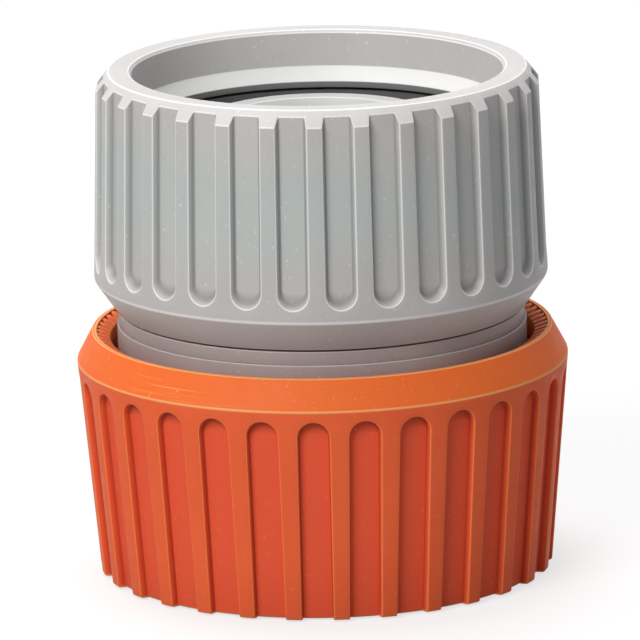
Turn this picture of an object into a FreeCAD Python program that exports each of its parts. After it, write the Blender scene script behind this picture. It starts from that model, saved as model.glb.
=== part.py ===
import FreeCAD, Part
import math
import os

# A quick coupling for a garden hose, standing on its socket end.
# Z runs up the axis towards the hose, X is to the right and the front faces -Y.
# Lengths are millimetres; R is a radius and Z a height above the standing face.

# Hose that the coupling is made for
HOSE_BORE_R = 9.5
HOSE_WALL = 3.0

# Plug of the tap side that the socket takes
PLUG_COLLAR_R = 10.4
PLUG_GROOVE_DEPTH = 1.1
PLUG_SEAL_STEP = 2.05

# Release sleeve, outside
SLEEVE_FOOT_LIFT = 0.1
SLEEVE_FLANK_HEIGHT = 16.62
SLEEVE_FLANK_FLARE = 1.44
SLEEVE_CHAMFER_HEIGHT = 2.29
SLEEVE_CHAMFER_INSET = 1.22
SLEEVE_RIM_WIDTH = 0.35
SLEEVE_FLUTES = 30
SLEEVE_FLUTE_WIDTH = 2.45
SLEEVE_FLUTE_DEPTH = 0.6
SLEEVE_FLUTE_DRAFT = 0.03
SLEEVE_FLUTE_CROWN_DROP = 0.82
SLEEVE_RIB_AZIMUTH = 3.5
SLEEVE_EDGE = 0.22

# Release sleeve, inside
SLEEVE_TRAVEL = 2.4
SLEEVE_GUIDE_GAP = 0.3
SLEEVE_GUIDE_HEIGHT = 2.0
SLEEVE_INNER_GAP = 1.4
STOP_GAP = 0.25

# Splined guide ring in the sleeve's mouth
RING_WALL = 1.02
RING_NECK_GAP = 0.55
RING_SPLINES = 90
RING_SPLINE_DEPTH = 0.3
RING_SPLINE_GAP_SHARE = 0.5
RING_TOP_SLOPE = 0.4
RING_TOP_DROP = 0.11
RING_GROOVE_DEPTH = 0.14
SEAT_GAP = 0.03

# Return spring
SPRING_WIRE = 0.85
SPRING_LENGTH = 6.0
SPRING_TURNS = 3.5
SPRING_TUBE_GAP = 0.7
SPRING_CHAMBER_GAP = 0.4
SPRING_END_GAP = 0.05

# Locking claws
CLAWS = {"claw_front": -90.0, "claw_right": 0.0, "claw_rear": 90.0, "claw_left": 180.0}
CLAW_WIDTH = 5.0
CLAW_HEIGHT = 3.4
CLAW_HEAD_WIDTH = 6.6
CLAW_HEAD_THICKNESS = 1.25
CLAW_HEAD_GAP = 0.15
CLAW_LEAD_SHARE = 0.53
CLAW_RAMP_SHARE = 0.41
CLAW_RAMP_SLOPE = 0.5
CLAW_RAMP_GAP = 0.1
CLAW_WINDOW_GAP = 0.15
CLAW_GUIDE_DROP = 1.0

# Socket body
SOCKET_PLUG_GAP = 0.2
SOCKET_TUBE_WALL = 2.6
SOCKET_MOUTH_CHAMFER = 0.8
SOCKET_SEAL_GAP = 0.1
SOCKET_CORE_WALL = 1.45
SOCKET_OUTER_WALL = 1.7
SOCKET_CONE_HEIGHT = 0.8
SOCKET_CORE_FLOOR = 1.0
NECK_CHAMBER_STEP = 0.6
NECK_BELOW_RIM = 2.01
NECK_ABOVE_RIM = 0.55

# Front ring that keeps the sleeve on the body
FRONT_RING_HEIGHT = 1.6
FRONT_RING_SLEEVE_GAP = 0.2
FRONT_RING_LEDGE = 1.05
FRONT_RING_BEAD = 0.25
FRONT_RING_BEAD_HEIGHT = 0.6
FRONT_RING_EDGE = 0.2

# Hose stem: barbed stem, flange and spigot
STEM_WALL = 2.9
STEM_BORE_CONE_HEIGHT = 2.8
STEM_SPIGOT_LENGTH = 4.36
STEM_SPIGOT_GAP = 0.05
STEM_GROOVE_WALL = 1.7
STEM_FLANGE = 1.15
STEM_FLANGE_HEIGHT = 1.34
STEM_FLANGE_GAP = 0.05
STEM_BARB = 0.45
STEM_BARBS = 4
STEM_BARB_RISE = 1.91
STEM_BARB_LAND = 0.25
STEM_BARB_SHARE = 0.8
STEM_TIP_DROP = 3.95
STEM_TIP_ROUND = 0.6
STEM_TIP_COUNTERSINK = 0.8

# Threaded collar on top of the body
COLLAR_NECK_STEP = 0.15
COLLAR_NECK_HEIGHT = 1.04
COLLAR_FLOOR_HEIGHT = 1.4
COLLAR_STEP_GAP = 0.49
COLLAR_WALL = 0.9
COLLAR_TAPER = 0.2

# O-ring between the two halves of the body
SEAL_SECTION = 1.6
SEAL_LENGTH = 2.0
SEAL_GROOVE_GAP = 0.15
SEAL_FROM_JOINT = 2.2

# Thread of the hose nut
THREAD_PITCH = 3.0
THREAD_DEPTH = 0.55
THREAD_GAP = 0.15
THREAD_ROOT_WIDTH = 1.5
THREAD_CREST_WIDTH = 0.9
THREAD_SINK = 0.25
THREAD_START = 2.1
THREAD_END_GAP = 0.2

# Hose nut
NUT_NECK_GAP = 0.17
NUT_FOOT_WALL = 0.38
NUT_CONE_HEIGHT = 2.43
NUT_CONE_FLARE = 1.69
NUT_GRIP_HEIGHT = 14.93
NUT_GRIP_INSET = 0.48
NUT_CHAMFER_HEIGHT = 1.2
NUT_CHAMFER_INSET = 0.97
NUT_RIM_WIDTH = 1.57
NUT_MOUTH_CHAMFER = 0.22
NUT_MOUTH_TAPER = 0.27
NUT_MOUTH_DEPTH = 2.87
NUT_LEDGE_DEPTH = 1.07
NUT_LIP_HEIGHT = 0.5
NUT_LIP_HOSE_GAP = 0.8
NUT_EDGE = 0.12
NUT_FLUTES = 30
NUT_FLUTE_WIDTH = 2.38
NUT_FLUTE_FLOOR_WIDTH = 2.05
NUT_FLUTE_DEPTH = 0.57
NUT_FLUTE_END = 0.98
NUT_FLUTE_END_SLOPE = 0.38
NUT_RIB_AZIMUTH = -1.1
NUT_TURN_CONE_HEIGHT = 1.1
NUT_BEAD_HEIGHT = 0.4

# Grip collet in the hose nut
COLLET_FINGERS = 12
COLLET_SLOT = 1.1
COLLET_FINGER = 0.85
COLLET_COLLAR_GAP = 0.3
COLLET_HEAD_HEIGHT = 1.8
COLLET_HEAD_WALL = 1.25
COLLET_HEAD_GAP = 0.2
COLLET_SNAP = 0.2
COLLET_SHANK_WALL = 0.8
COLLET_SHANK_HEIGHT = 1.4
COLLET_STEP_HEIGHT = 1.5
COLLET_TOOTH = 0.35
COLLET_TEETH = 3
COLLET_TOOTH_ZONE = 0.815
COLLET_TOOTH_RISE = 0.3
COLLET_TOOTH_SHARE = 0.7
COLLET_TOOTH_LAND = 0.2
COLLET_FLOOR_GAP = 1.0

# Radii of the hose side, worked outwards from the hose
stem_r = HOSE_BORE_R
stem_bore_r = stem_r - STEM_WALL
hose_r = HOSE_BORE_R + HOSE_WALL
finger_r = hose_r + COLLET_FINGER
collar_foot_bore_r = finger_r + COLLET_COLLAR_GAP
collar_mouth_bore_r = collar_foot_bore_r + COLLAR_TAPER
thread_core_r = collar_mouth_bore_r + COLLAR_WALL
thread_crest_r = thread_core_r + THREAD_DEPTH
nut_bore_r = thread_crest_r + THREAD_GAP
nut_thread_r = thread_core_r + THREAD_GAP
nut_foot_r = nut_bore_r + NUT_FOOT_WALL
nut_lip_r = hose_r + NUT_LIP_HOSE_GAP
collet_head_r = nut_lip_r + COLLET_HEAD_WALL
nut_seat_r = collet_head_r + COLLET_HEAD_GAP

# Radii of the socket side, worked outwards from the plug
plug_groove_r = PLUG_COLLAR_R - PLUG_GROOVE_DEPTH
mouth_r = PLUG_COLLAR_R + SOCKET_PLUG_GAP
tube_r = mouth_r + SOCKET_TUBE_WALL
seal_bore_r = PLUG_COLLAR_R - PLUG_SEAL_STEP + SOCKET_SEAL_GAP
spring_mean_r = tube_r + SPRING_TUBE_GAP + SPRING_WIRE / 2
chamber_r = spring_mean_r + SPRING_WIRE / 2 + SPRING_CHAMBER_GAP
neck_r = max(chamber_r + NECK_CHAMBER_STEP, nut_foot_r)
collar_neck_r = neck_r - COLLAR_NECK_STEP
spigot_bore_r = tube_r - SOCKET_OUTER_WALL
spigot_r = spigot_bore_r - STEM_SPIGOT_GAP
stem_flange_r = spigot_bore_r + STEM_FLANGE
seal_groove_r = spigot_bore_r - SEAL_SECTION
stem_spigot_bore_r = seal_groove_r - STEM_GROOVE_WALL
ring_bore_r = neck_r + RING_NECK_GAP
ring_r = ring_bore_r + RING_WALL
ring_seat_r = ring_r + SEAT_GAP
sleeve_rim_r = ring_seat_r + SLEEVE_RIM_WIDTH
sleeve_widest_r = sleeve_rim_r + SLEEVE_CHAMFER_INSET
sleeve_foot_r = sleeve_widest_r - SLEEVE_FLANK_FLARE
sleeve_guide_r = tube_r + SLEEVE_GUIDE_GAP
sleeve_inner_r = tube_r + SLEEVE_INNER_GAP
front_ring_r = sleeve_inner_r + FRONT_RING_LEDGE
sleeve_mouth_r = front_ring_r + FRONT_RING_SLEEVE_GAP
claw_head_bore_r = tube_r + CLAW_HEAD_GAP
claw_head_r = claw_head_bore_r + CLAW_HEAD_THICKNESS
claw_travel = SLEEVE_TRAVEL * CLAW_RAMP_SLOPE

# Heights, worked upwards from the standing face
sleeve_widest_z = SLEEVE_FOOT_LIFT + SLEEVE_FLANK_HEIGHT
sleeve_rim_z = sleeve_widest_z + SLEEVE_CHAMFER_HEIGHT
flange_z = sleeve_rim_z - NECK_BELOW_RIM
joint_z = sleeve_rim_z + NECK_ABOVE_RIM
neck_top_z = joint_z + COLLAR_NECK_HEIGHT
chamber_floor_z = neck_top_z + COLLAR_FLOOR_HEIGHT
spigot_z = joint_z - STEM_SPIGOT_LENGTH
stem_flange_z = joint_z + STEM_FLANGE_HEIGHT
seal_z = joint_z - SEAL_FROM_JOINT
ring_foot_z = flange_z - SLEEVE_TRAVEL - STOP_GAP
ring_top_z = sleeve_rim_z - RING_TOP_DROP
spring_seat_z = flange_z - SPRING_LENGTH
guide_foot_z = spring_seat_z - SLEEVE_GUIDE_HEIGHT
claw_top_z = guide_foot_z - CLAW_GUIDE_DROP
claw_foot_z = claw_top_z - CLAW_HEIGHT
claw_ramp_foot_z = claw_top_z - CLAW_HEIGHT * CLAW_RAMP_SHARE
claw_lead_top_z = claw_foot_z + CLAW_HEIGHT * CLAW_LEAD_SHARE
claw_top_r = claw_head_r - CLAW_RAMP_SLOPE * (claw_top_z - claw_ramp_foot_z)
mouth_top_z = claw_top_z + CLAW_GUIDE_DROP
seal_foot_z = mouth_top_z + SOCKET_CONE_HEIGHT
socket_core_z = seal_foot_z + SOCKET_CORE_FLOOR
ledge_z = FRONT_RING_HEIGHT + FRONT_RING_SLEEVE_GAP

# Heights of the hose nut and the collet
nut_foot_z = neck_top_z + NUT_NECK_GAP
nut_widest_z = nut_foot_z + NUT_CONE_HEIGHT
nut_grip_top_z = nut_widest_z + NUT_GRIP_HEIGHT
nut_top_z = nut_grip_top_z + NUT_CHAMFER_HEIGHT
nut_ledge_z = nut_top_z - NUT_MOUTH_DEPTH
nut_lip_z = nut_ledge_z - NUT_LEDGE_DEPTH
nut_seat_z = nut_lip_z - NUT_LIP_HEIGHT
stem_top_z = nut_top_z - STEM_TIP_DROP
collet_top_z = nut_seat_z - COLLET_HEAD_GAP
collet_head_foot_z = collet_top_z - COLLET_HEAD_HEIGHT
collet_shank_foot_z = collet_head_foot_z - COLLET_SHANK_HEIGHT
collet_finger_top_z = collet_shank_foot_z - COLLET_STEP_HEIGHT
collet_foot_z = chamber_floor_z + COLLET_FLOOR_GAP
collet_tooth_pitch = (collet_finger_top_z - collet_foot_z) * COLLET_TOOTH_ZONE / COLLET_TEETH
nut_bead_z = collet_head_foot_z - STOP_GAP
collar_top_z = collet_finger_top_z - COLLAR_STEP_GAP
thread_start_z = neck_top_z + THREAD_START
thread_end_z = collar_top_z - THREAD_END_GAP - THREAD_ROOT_WIDTH / 2
thread_turns = (thread_end_z - thread_start_z) / THREAD_PITCH
stem_barb_foot_z = chamber_floor_z + STEM_BARB_RISE
stem_barb_pitch = (stem_top_z - STEM_TIP_ROUND - stem_barb_foot_z) / STEM_BARBS
nut_widest_r = nut_foot_r + NUT_CONE_FLARE
nut_grip_top_r = nut_widest_r - NUT_GRIP_INSET
nut_top_r = nut_grip_top_r - NUT_CHAMFER_INSET
nut_mouth_edge_r = nut_top_r - NUT_RIM_WIDTH
nut_mouth_r = nut_mouth_edge_r - NUT_MOUTH_CHAMFER

AXIS = FreeCAD.Vector(0, 0, 1)
ORIGIN = FreeCAD.Vector(0, 0, 0)
OVERSHOOT = 1.0


def revolved(points):
    """Solid of revolution about the axis from (radius, height) points."""
    corners = [FreeCAD.Vector(r, 0, z) for r, z in points]
    wire = Part.makePolygon(corners + corners[:1])
    return Part.Face(wire).revolve(ORIGIN, AXIS, 360)


def turned(shape, degrees):
    """Copy of a shape turned about the axis."""
    copy = shape.copy()
    copy.rotate(ORIGIN, AXIS, degrees)
    return copy


def ring_of(shape, count, azimuth):
    """Evenly spaced copies of a shape that was drawn at azimuth zero."""
    pitch = 360.0 / count
    return [turned(shape, azimuth + pitch * i) for i in range(count)]


def radial_block(outline, width):
    """Block along +X whose (radius, height) outline is drawn in the XZ plane."""
    corners = [FreeCAD.Vector(r, -width / 2, z) for r, z in outline]
    wire = Part.makePolygon(corners + corners[:1])
    return Part.Face(wire).extrude(FreeCAD.Vector(0, width, 0))


def box_between(r_inner, r_outer, width, z_low, z_high):
    """Radial box along +X."""
    corner = FreeCAD.Vector(r_inner, -width / 2, z_low)
    return Part.makeBox(r_outer - r_inner, width, z_high - z_low, corner)


def solid_of(corner_lists):
    """Solid bounded by flat faces, each given by its corners."""
    faces = [Part.Face(Part.makePolygon(list(c) + [c[0]])) for c in corner_lists]
    return Part.Solid(Part.Shell(faces))


def half_disc(half_width, round_end, level):
    """Outline of a flute's round end, closed by a straight line across it."""
    spring_line = round_end + half_width
    left = FreeCAD.Vector(-half_width, spring_line, level)
    crown = FreeCAD.Vector(0, round_end, level)
    right = FreeCAD.Vector(half_width, spring_line, level)
    return Part.Wire([Part.Arc(left, crown, right).toShape(), Part.makeLine(right, left)])


def flute_cutter(floor, rim, depth, length, start, end):
    """Drafted flute tool on a cone; start and end are (radius, height) points on the cone.

    floor and rim are (half width, round end), measured from start along the slope.
    The flute is round ended near start and runs on to length.
    """
    slope = FreeCAD.Vector(end[0] - start[0], 0, end[1] - start[1])
    slope.normalize()
    across = FreeCAD.Vector(0, 1, 0)
    outward = across.cross(slope)
    if outward.x < 0:
        outward = -outward
    reach = (depth + OVERSHOOT) / depth
    far = [a + (b - a) * reach for a, b in zip(floor, rim)]
    levels = [(floor, -depth), (far, OVERSHOOT)]
    round_end = Part.makeLoft([half_disc(*outline, level) for outline, level in levels], True, True)
    low, high = [
        [
            FreeCAD.Vector(-half_width, round_end_y + half_width, level),
            FreeCAD.Vector(half_width, round_end_y + half_width, level),
            FreeCAD.Vector(half_width, length, level),
            FreeCAD.Vector(-half_width, length, level),
        ]
        for (half_width, round_end_y), level in levels
    ]
    sides = [(low[i], low[i - 1], high[i - 1], high[i]) for i in range(4)]
    tool = solid_of([low, high] + sides).fuse(round_end)
    turn = FreeCAD.Rotation(slope.cross(outward), slope, outward, "XYZ")
    tool.Placement = FreeCAD.Placement(FreeCAD.Vector(start[0], 0, start[1]), turn)
    return tool


def helical_rib(core_r, crest_r, start_z):
    """Thread rib with sloped flanks; it sinks a little into the wall that carries it."""
    outward = math.copysign(1.0, crest_r - core_r)
    sunk_r = core_r - outward * THREAD_SINK
    helix = Part.makeHelix(THREAD_PITCH, THREAD_PITCH * thread_turns, core_r)
    flank = (THREAD_ROOT_WIDTH - THREAD_CREST_WIDTH) / 2 / THREAD_DEPTH
    sunk_half = THREAD_ROOT_WIDTH / 2 + flank * THREAD_SINK
    crest_half = THREAD_CREST_WIDTH / 2
    outline = [
        (sunk_r, -sunk_half),
        (sunk_r, sunk_half),
        (crest_r, crest_half),
        (crest_r, -crest_half),
    ]
    corners = [FreeCAD.Vector(r, 0, z) for r, z in outline]
    section = Part.makePolygon(corners + corners[:1])
    rib = Part.Wire(helix).makePipeShell([section], True, True)
    rib.translate(FreeCAD.Vector(0, 0, start_z))
    return rib


# Sleeve


def sleeve_flutes():
    """Tools for the arched flutes, open at the sleeve's foot."""
    foot = (sleeve_foot_r, SLEEVE_FOOT_LIFT)
    head = (sleeve_widest_r, sleeve_widest_z)
    length = math.dist(foot, head) + OVERSHOOT
    rim = (SLEEVE_FLUTE_WIDTH / 2, SLEEVE_FLUTE_CROWN_DROP)
    floor = (SLEEVE_FLUTE_WIDTH / 2 - SLEEVE_FLUTE_DRAFT, SLEEVE_FLUTE_CROWN_DROP + SLEEVE_FLUTE_DRAFT)
    tool = flute_cutter(floor, rim, SLEEVE_FLUTE_DEPTH, length, head, foot)
    half_pitch = 180.0 / SLEEVE_FLUTES
    return ring_of(tool, SLEEVE_FLUTES, -90.0 + SLEEVE_RIB_AZIMUTH + half_pitch)


def claw_pocket():
    """Pocket with the ramp that lets a claw out as the sleeve is drawn back."""
    ramp_top = (claw_top_r + CLAW_RAMP_GAP, claw_top_z)
    wall_r = claw_head_r + claw_travel + CLAW_RAMP_GAP + SEAT_GAP
    wall_z = claw_top_z - (wall_r - ramp_top[0]) / CLAW_RAMP_SLOPE
    crest_z = claw_top_z + (ramp_top[0] - sleeve_guide_r) / CLAW_RAMP_SLOPE
    crest = min(crest_z, guide_foot_z)
    crest_r = ramp_top[0] - (crest - claw_top_z) * CLAW_RAMP_SLOPE
    outline = [
        (tube_r, ledge_z - OVERSHOOT),
        (wall_r, ledge_z - OVERSHOOT),
        (wall_r, wall_z),
        (crest_r, crest),
        (tube_r, crest),
    ]
    return radial_block(outline, CLAW_HEAD_WIDTH + 2 * CLAW_WINDOW_GAP)


def sleeve_shell():
    """Orange grip: fluted outside; seats for ring and spring and the claw ramps inside."""
    slope_share = SLEEVE_EDGE / SLEEVE_FLANK_HEIGHT
    outline = [
        (sleeve_mouth_r, SLEEVE_FOOT_LIFT),
        (sleeve_foot_r - SLEEVE_EDGE, SLEEVE_FOOT_LIFT),
        (sleeve_foot_r + SLEEVE_FLANK_FLARE * slope_share, SLEEVE_FOOT_LIFT + SLEEVE_EDGE),
        (sleeve_widest_r, sleeve_widest_z),
        (sleeve_rim_r, sleeve_rim_z),
        (ring_seat_r, sleeve_rim_z),
        (ring_seat_r, ring_foot_z),
        (chamber_r, ring_foot_z),
        (chamber_r, spring_seat_z),
        (sleeve_guide_r, spring_seat_z),
        (sleeve_guide_r, guide_foot_z),
        (sleeve_inner_r, guide_foot_z - (sleeve_inner_r - sleeve_guide_r)),
        (sleeve_inner_r, ledge_z),
        (sleeve_mouth_r, ledge_z),
    ]
    pockets = [turned(claw_pocket(), azimuth) for azimuth in CLAWS.values()]
    return revolved(outline).cut(sleeve_flutes() + pockets)


def guide_ring():
    """Ring in the sleeve's mouth with fine splines outside and across its sloped top."""
    outline = [
        (ring_bore_r, ring_foot_z),
        (ring_r, ring_foot_z),
        (ring_r, ring_top_z),
        (ring_bore_r, ring_top_z - RING_TOP_SLOPE),
    ]
    spline_root_r = ring_r - RING_SPLINE_DEPTH
    gap = 2 * math.pi * ring_r / RING_SPLINES * RING_SPLINE_GAP_SHARE
    side = box_between(spline_root_r, ring_r + OVERSHOOT, gap, ring_foot_z - OVERSHOOT,
                       ring_top_z + OVERSHOOT)
    groove_outline = [
        (ring_bore_r - OVERSHOOT, ring_top_z - RING_TOP_SLOPE - RING_GROOVE_DEPTH),
        (ring_bore_r, ring_top_z - RING_TOP_SLOPE - RING_GROOVE_DEPTH),
        (ring_r, ring_top_z - RING_GROOVE_DEPTH),
        (ring_r, ring_top_z + OVERSHOOT),
        (ring_bore_r - OVERSHOOT, ring_top_z + OVERSHOOT),
    ]
    groove = radial_block(groove_outline, gap)
    tool = side.fuse(groove)
    return revolved(outline).cut(ring_of(tool, RING_SPLINES, 0))


def return_spring():
    """Helical spring between the body's flange and the sleeve's shoulder."""
    foot_z = spring_seat_z + SPRING_END_GAP + SPRING_WIRE / 2
    head_z = flange_z - SPRING_END_GAP - SPRING_WIRE / 2
    rise = head_z - foot_z
    helix = Part.makeHelix(rise / SPRING_TURNS, rise, spring_mean_r)
    section = Part.Wire(Part.makeCircle(SPRING_WIRE / 2, FreeCAD.Vector(spring_mean_r, 0, 0),
                                        FreeCAD.Vector(0, 1, 0)))
    coil = Part.Wire(helix).makePipeShell([section], True, True)
    coil.translate(FreeCAD.Vector(0, 0, foot_z))
    return coil


# Body and claws


def claw():
    """Claw along +X: nose with a lead-in below, head with the ramp above."""
    outline = [
        (PLUG_COLLAR_R, claw_foot_z),
        (claw_head_r, claw_foot_z),
        (claw_head_r, claw_ramp_foot_z),
        (claw_top_r, claw_top_z),
        (plug_groove_r / 2, claw_top_z),
        (plug_groove_r / 2, claw_lead_top_z),
        (plug_groove_r, claw_lead_top_z),
    ]
    shank = radial_block(outline, CLAW_WIDTH)
    head_outline = [
        (claw_head_bore_r, claw_foot_z),
        (claw_head_r, claw_foot_z),
        (claw_head_r, claw_ramp_foot_z),
        (claw_top_r, claw_top_z),
        (claw_head_bore_r, claw_top_z),
    ]
    head = radial_block(head_outline, CLAW_HEAD_WIDTH)
    head = head.cut(Part.makeCylinder(claw_head_bore_r, claw_top_z))
    groove = Part.makeCylinder(plug_groove_r, claw_top_z)
    return shank.fuse(head).cut(groove).removeSplitter()


def claw_window():
    """Tool for the window in the socket wall that a claw slides in."""
    return box_between(mouth_r - OVERSHOOT, tube_r + OVERSHOOT,
                       CLAW_WIDTH + 2 * CLAW_WINDOW_GAP,
                       claw_foot_z - CLAW_WINDOW_GAP, claw_top_z + CLAW_WINDOW_GAP)


def socket_body():
    """Lower half of the body: plug socket, seal bore, spring flange and neck."""
    bead_r = tube_r - FRONT_RING_BEAD
    bead_z = (FRONT_RING_HEIGHT - FRONT_RING_BEAD_HEIGHT) / 2
    core_r = seal_bore_r + SOCKET_CORE_WALL
    outline = [
        (mouth_r + SOCKET_MOUTH_CHAMFER, 0),
        (tube_r, 0),
        (tube_r, bead_z),
        (bead_r, bead_z),
        (bead_r, bead_z + FRONT_RING_BEAD_HEIGHT),
        (tube_r, bead_z + FRONT_RING_BEAD_HEIGHT),
        (tube_r, flange_z),
        (neck_r, flange_z),
        (neck_r, joint_z),
        (spigot_bore_r, joint_z),
        (spigot_bore_r, socket_core_z),
        (core_r, socket_core_z),
        (core_r, spigot_z),
        (seal_bore_r, spigot_z),
        (seal_bore_r, seal_foot_z),
        (mouth_r, mouth_top_z),
        (mouth_r, SOCKET_MOUTH_CHAMFER),
    ]
    windows = [turned(claw_window(), azimuth) for azimuth in CLAWS.values()]
    return revolved(outline).cut(windows)


def front_ring():
    """Ring snapped over the front of the body; the sleeve rests on its edge."""
    bead_r = tube_r - FRONT_RING_BEAD
    bead_z = (FRONT_RING_HEIGHT - FRONT_RING_BEAD_HEIGHT) / 2
    outline = [
        (tube_r, 0),
        (front_ring_r - FRONT_RING_EDGE, 0),
        (front_ring_r, FRONT_RING_EDGE),
        (front_ring_r, FRONT_RING_HEIGHT),
        (tube_r, FRONT_RING_HEIGHT),
        (tube_r, bead_z + FRONT_RING_BEAD_HEIGHT),
        (bead_r, bead_z + FRONT_RING_BEAD_HEIGHT),
        (bead_r, bead_z),
        (tube_r, bead_z),
    ]
    return revolved(outline)


def hose_stem():
    """Insert with the barbed stem above, a flange at the joint and a grooved spigot below."""
    groove_low = seal_z - SEAL_LENGTH / 2 - SEAL_GROOVE_GAP
    groove_high = seal_z + SEAL_LENGTH / 2 + SEAL_GROOVE_GAP
    outline = [
        (stem_spigot_bore_r, spigot_z),
        (spigot_r, spigot_z),
        (spigot_r, groove_low),
        (seal_groove_r, groove_low),
        (seal_groove_r, groove_high),
        (spigot_r, groove_high),
        (spigot_r, joint_z),
        (stem_flange_r, joint_z),
        (stem_flange_r, stem_flange_z),
        (spigot_r, stem_flange_z),
        (spigot_r, chamber_floor_z),
        (stem_r, chamber_floor_z),
    ]
    for i in range(STEM_BARBS):
        z = stem_barb_foot_z + stem_barb_pitch * i
        outline += [
            (stem_r, z),
            (stem_r + STEM_BARB, z),
            (stem_r + STEM_BARB, z + STEM_BARB_LAND),
            (stem_r, z + stem_barb_pitch * STEM_BARB_SHARE),
        ]
    outline += [
        (stem_r, stem_top_z - STEM_TIP_ROUND),
        (stem_r - STEM_TIP_ROUND, stem_top_z),
        (stem_bore_r + STEM_TIP_COUNTERSINK, stem_top_z),
        (stem_bore_r, stem_top_z - STEM_TIP_COUNTERSINK),
        (stem_bore_r, neck_top_z),
        (stem_spigot_bore_r, neck_top_z - STEM_BORE_CONE_HEIGHT),
    ]
    return revolved(outline)


def thread_collar():
    """Threaded collar of the body: it clamps the stem's flange and carries the hose nut."""
    outline = [
        (stem_flange_r + STEM_FLANGE_GAP, joint_z),
        (collar_neck_r, joint_z),
        (collar_neck_r, neck_top_z),
        (thread_core_r, neck_top_z),
        (thread_core_r, collar_top_z),
        (collar_mouth_bore_r, collar_top_z),
        (collar_foot_bore_r, chamber_floor_z),
        (spigot_bore_r, chamber_floor_z),
        (spigot_bore_r, stem_flange_z + STEM_FLANGE_GAP),
        (stem_flange_r + STEM_FLANGE_GAP, stem_flange_z + STEM_FLANGE_GAP),
    ]
    thread = helical_rib(thread_core_r, thread_crest_r, thread_start_z)
    return revolved(outline).fuse(thread)


def body_seal():
    """O-ring squeezed between the spigot's groove and the socket body."""
    centre = FreeCAD.Vector((seal_groove_r + spigot_bore_r) / 2, 0, seal_z)
    section = Part.Ellipse(centre + FreeCAD.Vector(0, 0, SEAL_LENGTH / 2),
                           centre + FreeCAD.Vector(SEAL_SECTION / 2, 0, 0), centre)
    face = Part.Face(Part.Wire(section.toShape()))
    return face.revolve(ORIGIN, AXIS, 360)


# Hose nut and collet


def nut_flutes():
    """Tools for the drafted flutes: round ended below, open through the top chamfer."""
    foot = (nut_widest_r, nut_widest_z)
    head = (nut_grip_top_r, nut_grip_top_z)
    length = math.dist(foot, head) + NUT_CHAMFER_HEIGHT + OVERSHOOT
    rim = (NUT_FLUTE_WIDTH / 2, NUT_FLUTE_END)
    floor = (NUT_FLUTE_FLOOR_WIDTH / 2, NUT_FLUTE_END + NUT_FLUTE_END_SLOPE)
    tool = flute_cutter(floor, rim, NUT_FLUTE_DEPTH, length, foot, head)
    half_pitch = 180.0 / NUT_FLUTES
    return ring_of(tool, NUT_FLUTES, -90.0 + NUT_RIB_AZIMUTH + half_pitch)


def hose_nut():
    """Grey nut: fluted grip, open mouth with a lip, collet seat and internal thread."""
    bead_r = collet_head_r - COLLET_SNAP
    bead_foot_z = nut_bead_z - NUT_BEAD_HEIGHT
    edge_r = nut_widest_r - NUT_EDGE * NUT_CONE_FLARE / NUT_CONE_HEIGHT
    outline = [
        (nut_bore_r, nut_foot_z),
        (nut_foot_r, nut_foot_z),
        (edge_r, nut_widest_z - NUT_EDGE),
        (nut_widest_r, nut_widest_z),
        (nut_grip_top_r, nut_grip_top_z),
        (nut_top_r, nut_top_z),
        (nut_mouth_edge_r, nut_top_z),
        (nut_mouth_r, nut_top_z - NUT_MOUTH_CHAMFER),
        (nut_mouth_r - NUT_MOUTH_TAPER, nut_ledge_z),
        (nut_lip_r, nut_lip_z),
        (nut_lip_r, nut_seat_z),
        (nut_seat_r, nut_seat_z),
        (nut_seat_r, nut_bead_z + COLLET_HEAD_GAP),
        (bead_r, nut_bead_z),
        (bead_r, bead_foot_z),
        (nut_bore_r, bead_foot_z - NUT_TURN_CONE_HEIGHT),
    ]
    thread = helical_rib(nut_bore_r, nut_thread_r, thread_start_z + THREAD_PITCH / 2)
    return revolved(outline).cut(nut_flutes()).fuse(thread)


def grip_collet():
    """Slit ring of grip fingers, held by its head under the nut's lip."""
    shank_r = nut_lip_r + COLLET_SHANK_WALL
    finger_foot_r = finger_r - COLLET_TOOTH / 2
    outline = [
        (nut_lip_r, collet_top_z),
        (collet_head_r, collet_top_z),
        (collet_head_r, collet_head_foot_z),
        (shank_r, collet_head_foot_z),
        (shank_r, collet_shank_foot_z),
        (finger_r, collet_finger_top_z),
        (finger_foot_r, collet_foot_z),
        (hose_r, collet_foot_z),
    ]
    for i in range(COLLET_TEETH):
        z = collet_foot_z + collet_tooth_pitch * (i + COLLET_TOOTH_RISE)
        outline += [
            (hose_r, z),
            (hose_r - COLLET_TOOTH, z),
            (hose_r - COLLET_TOOTH, z + COLLET_TOOTH_LAND),
            (hose_r, z + collet_tooth_pitch * COLLET_TOOTH_SHARE),
        ]
    outline += [
        (hose_r, collet_finger_top_z),
        (nut_lip_r, collet_shank_foot_z),
    ]
    slot = box_between(stem_r, collet_head_r + OVERSHOOT, COLLET_SLOT,
                       collet_foot_z - OVERSHOOT, collet_head_foot_z - COLLET_SHANK_WALL)
    return revolved(outline).cut(ring_of(slot, COLLET_FINGERS, 0))


def write(name, shape):
    """One STEP file for one node."""
    solid = shape.Solids[0] if len(shape.Solids) == 1 else shape
    solid.exportStep(os.path.join("parts", name + ".step"))


os.makedirs("parts", exist_ok=True)
write("sleeve_shell", sleeve_shell())
write("guide_ring", guide_ring())
write("return_spring", return_spring())
for claw_name, claw_azimuth in CLAWS.items():
    write(claw_name, turned(claw(), claw_azimuth))
write("socket_body", socket_body())
write("front_ring", front_ring())
write("hose_stem", hose_stem())
write("thread_collar", thread_collar())
write("body_seal", body_seal())
write("hose_nut", hose_nut())
write("grip_collet", grip_collet())
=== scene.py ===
import math

import bmesh
import bpy
import numpy as np
from mathutils import Matrix, Vector


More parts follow.
